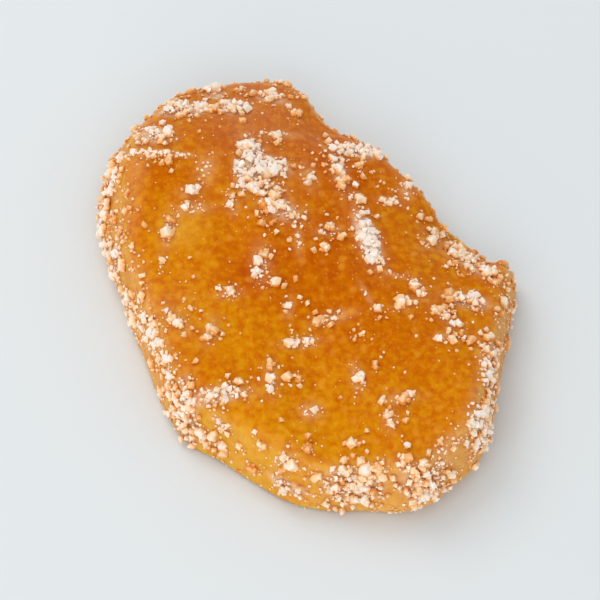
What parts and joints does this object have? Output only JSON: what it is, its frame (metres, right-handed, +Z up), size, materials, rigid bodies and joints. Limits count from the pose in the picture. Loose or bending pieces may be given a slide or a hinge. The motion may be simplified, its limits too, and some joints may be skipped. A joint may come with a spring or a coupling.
{
  "type": "candied ginger slice",
  "caption": "Knife-cut slice of candied ginger with a low domed top, leaning cut sides, a flat underside and sugar crystals stuck to its top and rim.",
  "frame": {"origin": "on the plane that the slice rests on, under the middle of its core, on the flat underside", "axes": "+Z is up; +Y is the long way of the slice and points to its back, so -Y is the side that faces the viewer in the picture; +X is to the viewer's right"},
  "size_m": [0.0322, 0.0391, 0.0071],
  "materials": {
    "candied_ginger": null,
    "sugar": null
  },
  "bodies": {
    "root": {"ginger_slice": "candied_ginger"}
  },
  "joints": []
}
